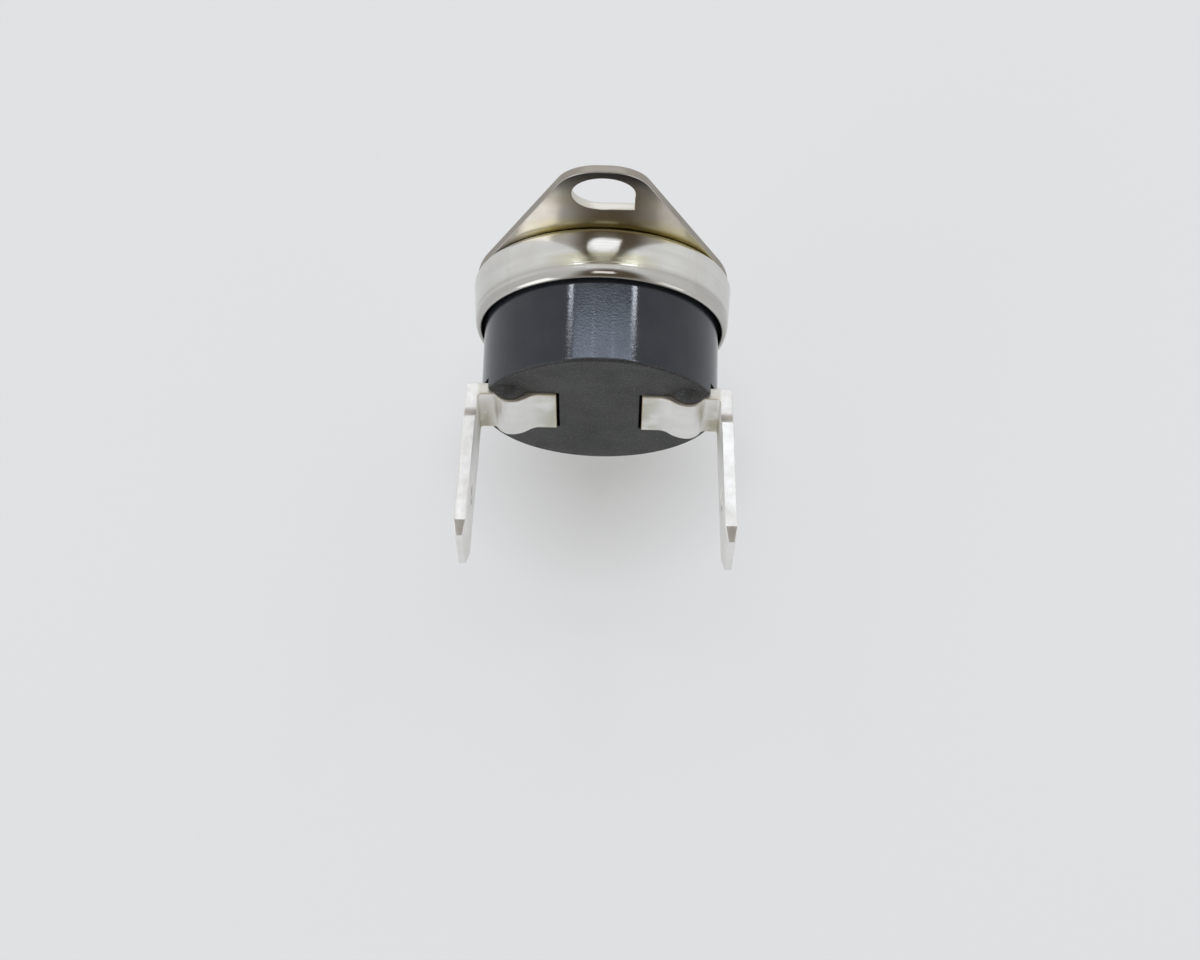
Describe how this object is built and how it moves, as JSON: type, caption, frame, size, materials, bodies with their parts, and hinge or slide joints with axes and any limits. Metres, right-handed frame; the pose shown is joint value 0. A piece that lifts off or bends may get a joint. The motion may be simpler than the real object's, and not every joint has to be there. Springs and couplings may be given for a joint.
{
  "type": "heat sensor",
  "caption": "Disc-type bimetal heat sensor: black moulded case, crimped metal cap, flat mounting plate with an ear at each end, and upright push-on tab terminals.",
  "frame": {"origin": "centre of the seating face, the flat face of the cap that lies against the watched surface", "axes": "+Y out of the seating face, into the watched surface; the terminals point to -Y; +Z along the mounting plate towards its upper ear; +X to the right when looking at the terminals"},
  "size_m": [0.0184, 0.0203, 0.0318],
  "materials": {
    "phenolic": "moulded, semi-gloss side and finely grained end",
    "nickel_plate": "drawn sheet, satin nickel plate",
    "bright_steel": "bright rolled sheet",
    "bimetal": "rolled strip",
    "brown_phenolic": "moulded",
    "ceramic": "unglazed",
    "tin_plate": "tin-plated sheet brass, satin",
    "brass": "turned or pressed",
    "spring_bronze": "rolled spring strip",
    "silver": "fine silver"
  },
  "bodies": {
    "housing": {"case": "phenolic", "cap": "nickel_plate", "mounting_plate": "bright_steel", "bimetal_disc": "bimetal", "guide_plate": "brown_phenolic", "left_terminal": "tin_plate", "right_terminal": "tin_plate", "leaf_stud": "brass", "bracket_stud": "brass", "stud_washer": "brass", "leaf_spring": "spring_bronze", "contact_bracket": "brass", "fixed_contact": "silver"},
    "pin": {"push_pin": "ceramic"},
    "contact": {"moving_contact": "silver"}
  },
  "joints": [
    {"name": "pin_slide", "type": "slide", "parent": "housing", "child": "pin", "axis": [0, -1, 0], "range_m": [0, 0.00035], "deforming": ["bimetal_disc"]},
    {"name": "contact_lift", "type": "hinge", "parent": "housing", "child": "contact", "pos_m": [-0.00252, -0.00505, 0], "axis": [0, 0, -1], "range_deg": [0, 8], "stiffness_Nm_per_rad": 0.01, "springref_deg": -5.73, "deforming": ["leaf_spring"]}
  ],
  "couplings": [
    {"joint": "contact_lift", "follows": "pin_slide", "rad_per_m": 396.8}
  ]
}
